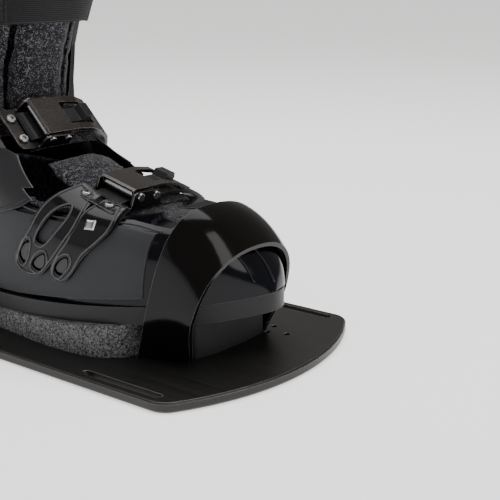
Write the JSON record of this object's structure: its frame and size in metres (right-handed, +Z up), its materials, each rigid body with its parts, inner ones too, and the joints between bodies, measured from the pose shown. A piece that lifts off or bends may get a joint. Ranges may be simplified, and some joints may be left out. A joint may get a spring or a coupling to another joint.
{
  "type": "boot_binding",
  "caption": "Plate-mounted hard-shell binding boot with toe hoop, ramped foam riser, hinged ankle cuff and ratchet buckles",
  "frame": {"origin": "underside of the mounting plate, centred on its length and width", "axes": "+X along the plate towards the toe, +Y across the plate towards the medial side, +Z up out of the plate"},
  "size_m": [0.38, 0.18, 0.246],
  "materials": {
    "plate_alloy": "brushed",
    "speckled_foam": "matte",
    "black_rubber": "satin",
    "satin_grey": "satin",
    "screw_steel": "satin",
    "gloss_black": "gloss",
    "shell_black": "gloss",
    "panel_grey": "matte",
    "liner_textile": "matte",
    "arm_plastic": "satin",
    "stud_grey": "satin",
    "buckle_steel": "gloss",
    "bright_steel": "satin",
    "tab_black": "gloss",
    "pad_rubber": "matte",
    "bush_polymer": "satin",
    "webbing": "matte"
  },
  "bodies": {
    "base": {"arm_front": "arm_plastic", "arm_rear": "arm_plastic", "arm_studs": "stud_grey", "board_plate": "plate_alloy", "heel_counter": "panel_grey", "instep_anchor_screw": "bright_steel", "instep_base_screws": "bright_steel", "instep_buckle_base": "buckle_steel", "instep_ladder_strap": "tab_black", "instep_lever_pin": "bright_steel", "instep_pawl_pin": "bright_steel", "instep_pawl_springs": "bright_steel", "instep_strap_pad": "pad_rubber", "liner_boot": "liner_textile", "lower_shell": "shell_black", "mount_screws": "screw_steel", "pivot_bolt_lateral": "bright_steel", "pivot_bolt_medial": "bright_steel", "riser_wedge": "speckled_foam", "side_panel_lateral": "panel_grey", "side_panel_medial": "panel_grey", "sole_rand": "satin_grey", "toe_hood": "gloss_black", "toe_riser": "black_rubber", "toe_screws": "screw_steel", "tongue": "liner_textile"},
    "cuff_body": {"cuff": "shell_black", "cuff_liner": "liner_textile", "shin_tongue": "liner_textile", "power_strap": "webbing", "pivot_bush_lateral": "bush_polymer", "pivot_bush_medial": "bush_polymer", "ankle_buckle_base": "buckle_steel", "ankle_lever_pin": "bright_steel", "ankle_pawl_pin": "bright_steel", "ankle_pawl_springs": "bright_steel", "ankle_ladder_strap": "tab_black", "ankle_strap_pad": "pad_rubber", "ankle_anchor_screw": "bright_steel", "ankle_base_screws": "bright_steel", "ankle_side_strap": "arm_plastic"},
    "instep_lever_body": {"instep_lever": "buckle_steel", "instep_lever_sleeve": "bright_steel"},
    "instep_pawl_body": {"instep_pawl": "tab_black"},
    "ankle_lever_body": {"ankle_lever": "buckle_steel", "ankle_lever_sleeve": "bright_steel"},
    "ankle_pawl_body": {"ankle_pawl": "tab_black"}
  },
  "joints": [
    {"name": "cuff_flex", "type": "hinge", "parent": "base", "child": "cuff_body", "pos_m": [-0.058, 0, 0.106], "axis": [0, 1, 0], "range_deg": [-3, 6]},
    {"name": "instep_lever_lift", "type": "hinge", "parent": "base", "child": "instep_lever_body", "pos_m": [0.07594, -0.026, 0.10016], "axis": [0.9703, 0, -0.2419], "range_deg": [0, 75]},
    {"name": "instep_pawl_release", "type": "hinge", "parent": "base", "child": "instep_pawl_body", "pos_m": [0.07574, -0.0125, 0.09939], "axis": [0.9703, 0, -0.2419], "range_deg": [0, 10], "stiffness_Nm_per_rad": 0.02},
    {"name": "ankle_lever_lift", "type": "hinge", "parent": "cuff_body", "child": "ankle_lever_body", "pos_m": [-0.00525, -0.016, 0.13206], "axis": [0.6947, 0, -0.7193], "range_deg": [0, 75]},
    {"name": "ankle_pawl_release", "type": "hinge", "parent": "cuff_body", "child": "ankle_pawl_body", "pos_m": [-0.00582, -0.0025, 0.1315], "axis": [0.6947, 0, -0.7193], "range_deg": [0, 10], "stiffness_Nm_per_rad": 0.02}
  ]
}
